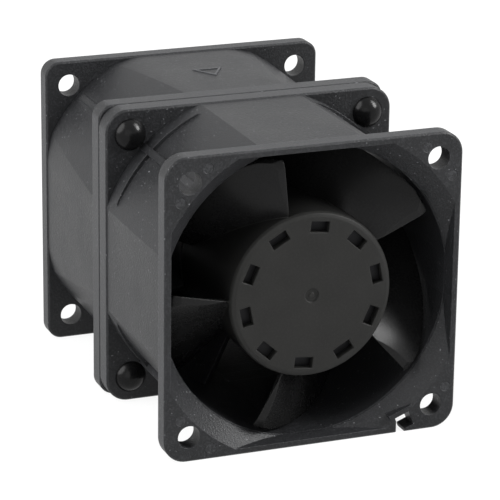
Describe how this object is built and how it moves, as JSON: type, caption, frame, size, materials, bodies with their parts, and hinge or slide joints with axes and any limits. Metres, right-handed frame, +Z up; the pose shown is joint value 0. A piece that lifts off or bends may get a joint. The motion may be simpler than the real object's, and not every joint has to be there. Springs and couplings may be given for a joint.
{
  "type": "axial cooling fan",
  "caption": "Square counter-rotating duct fan: two ducted rotors back to back on one axis, each driven by a motor on guide vanes, in flanged housings riveted together.",
  "frame": {"origin": "centre of the fan's box, on the rotor axis in the plane where the two modules meet", "axes": "+Y along the rotor axis from the intake face to the exhaust face, +Z up, +X to the right seen from the intake"},
  "size_m": [0.06, 0.076, 0.06],
  "materials": {
    "housing_plastic": "fine-grained black glass-filled moulding, satin on the flange edges",
    "impeller_plastic": "smooth black moulding with a soft sheen",
    "rivet_plastic": "polished black dome",
    "bearing_steel": "ground bearing steel",
    "shaft_steel": "ground hardened pin",
    "spring_steel": "oiled spring steel",
    "yoke_steel": "drawn and plated steel cup",
    "bush_brass": "turned brass",
    "magnet": "dull bonded ferrite",
    "core_steel": "stacked laminations",
    "insulator_plastic": "natural moulded plastic",
    "copper_wire": "enamelled copper wire",
    "board_laminate": "green solder mask",
    "component_plastic": "black component bodies"
  },
  "bodies": {
    "frame": {"intake_outer_flange": "housing_plastic", "intake_barrel": "housing_plastic", "intake_joint_flange": "housing_plastic", "intake_guide_vanes": "housing_plastic", "intake_motor_base": "housing_plastic", "intake_bearing_tube": "bearing_steel", "intake_hub_bearing_outer_ring": "bearing_steel", "intake_hub_bearing_shields": "bearing_steel", "intake_base_bearing_outer_ring": "bearing_steel", "intake_base_bearing_shields": "bearing_steel", "intake_bearing_cap": "housing_plastic", "intake_stator_core": "core_steel", "intake_insulators": "insulator_plastic", "intake_windings": "copper_wire", "intake_circuit_board": "board_laminate", "intake_board_components": "component_plastic", "exhaust_outer_flange": "housing_plastic", "exhaust_barrel": "housing_plastic", "exhaust_joint_flange": "housing_plastic", "exhaust_guide_vanes": "housing_plastic", "exhaust_motor_base": "housing_plastic", "exhaust_bearing_tube": "bearing_steel", "exhaust_hub_bearing_outer_ring": "bearing_steel", "exhaust_hub_bearing_shields": "bearing_steel", "exhaust_base_bearing_outer_ring": "bearing_steel", "exhaust_base_bearing_shields": "bearing_steel", "exhaust_bearing_cap": "housing_plastic", "exhaust_stator_core": "core_steel", "exhaust_insulators": "insulator_plastic", "exhaust_windings": "copper_wire", "exhaust_circuit_board": "board_laminate", "exhaust_board_components": "component_plastic", "flange_rivets": "rivet_plastic"},
    "intake_rotor": {"intake_impeller": "impeller_plastic", "intake_hub_bearing_inner_ring": "bearing_steel", "intake_base_bearing_inner_ring": "bearing_steel", "intake_shaft": "shaft_steel", "intake_retaining_ring": "spring_steel", "intake_preload_spring": "spring_steel", "intake_rotor_yoke": "yoke_steel", "intake_shaft_bush": "bush_brass", "intake_magnet_ring": "magnet"},
    "exhaust_rotor": {"exhaust_impeller": "impeller_plastic", "exhaust_hub_bearing_inner_ring": "bearing_steel", "exhaust_base_bearing_inner_ring": "bearing_steel", "exhaust_shaft": "shaft_steel", "exhaust_retaining_ring": "spring_steel", "exhaust_preload_spring": "spring_steel", "exhaust_rotor_yoke": "yoke_steel", "exhaust_shaft_bush": "bush_brass", "exhaust_magnet_ring": "magnet"}
  },
  "joints": [
    {"name": "intake_rotor_spin", "type": "hinge", "parent": "frame", "child": "intake_rotor", "pos_m": [0, -0.02, 0], "axis": [0, 1, 0], "continuous": true},
    {"name": "exhaust_rotor_spin", "type": "hinge", "parent": "frame", "child": "exhaust_rotor", "pos_m": [0, 0.02, 0], "axis": [0, 1, 0], "continuous": true}
  ]
}
